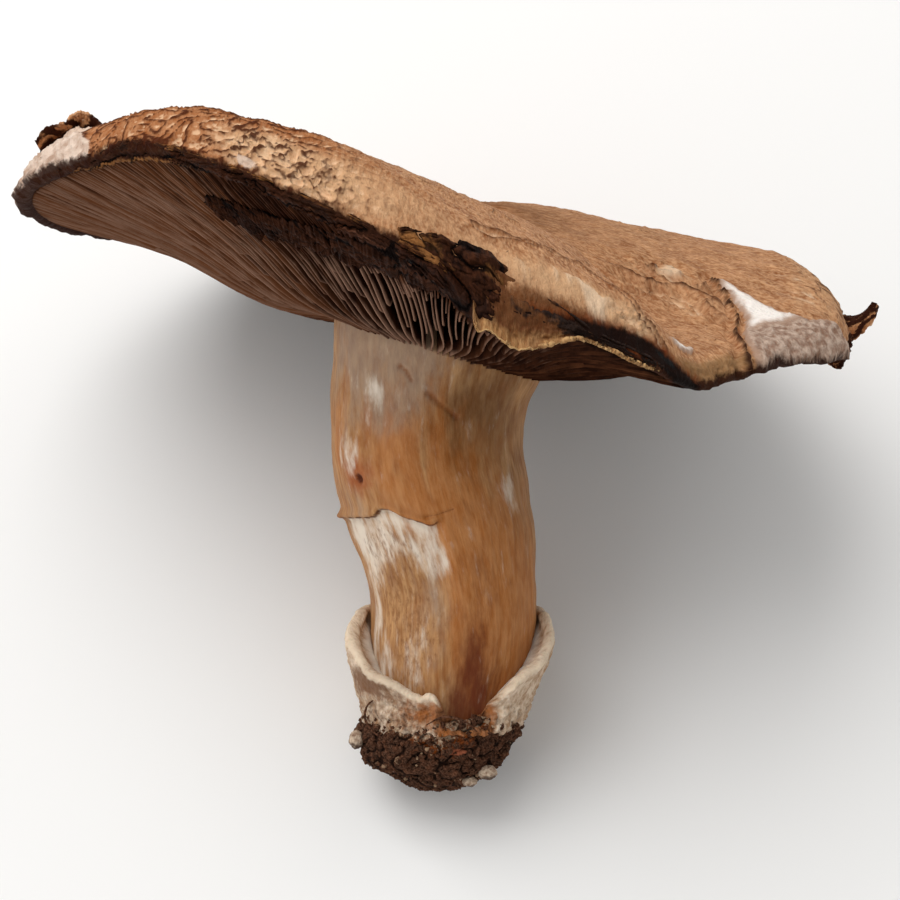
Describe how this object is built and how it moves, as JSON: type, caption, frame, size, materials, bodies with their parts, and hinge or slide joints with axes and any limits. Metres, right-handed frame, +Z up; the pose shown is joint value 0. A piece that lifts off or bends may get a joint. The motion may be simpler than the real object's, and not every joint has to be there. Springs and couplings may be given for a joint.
{
  "type": "portobello mushroom",
  "caption": "Picked portobello mushroom lying on its side: broad warped brown cap, dark radial gills, bent stem, torn cup and a clump of soil on its foot.",
  "frame": {"origin": "on the table, under the middle of the lying mushroom's bounding box", "axes": "+Z up; +X to the right across the cap; the foot lies towards -Y and the cap's top faces +Y and up"},
  "size_m": [0.1502, 0.1288, 0.1141],
  "materials": {
    "cap_skin": "dry brown skin with fine scales, cracks and pale torn flesh at the rim",
    "gill": "dark chocolate brown, thin dry blades with paler edges",
    "stem_flesh": "dry fibrous flesh, tan with orange brown streaks and white patches",
    "sheath_tissue": "pale papery tissue with soil smears",
    "soil": "damp dark crumbly soil with pale threads",
    "torn_veil": "golden tan dried membrane",
    "chalk": "dull pale crumbs"
  },
  "bodies": {
    "root": {"cap": "cap_skin", "gills": "gill", "stem": "stem_flesh", "sheath": "sheath_tissue", "casing_soil": "soil", "veil_strip": "torn_veil", "chalk_lump_left": "chalk", "chalk_lump_right": "chalk", "chalk_lump_low": "chalk"}
  },
  "joints": []
}
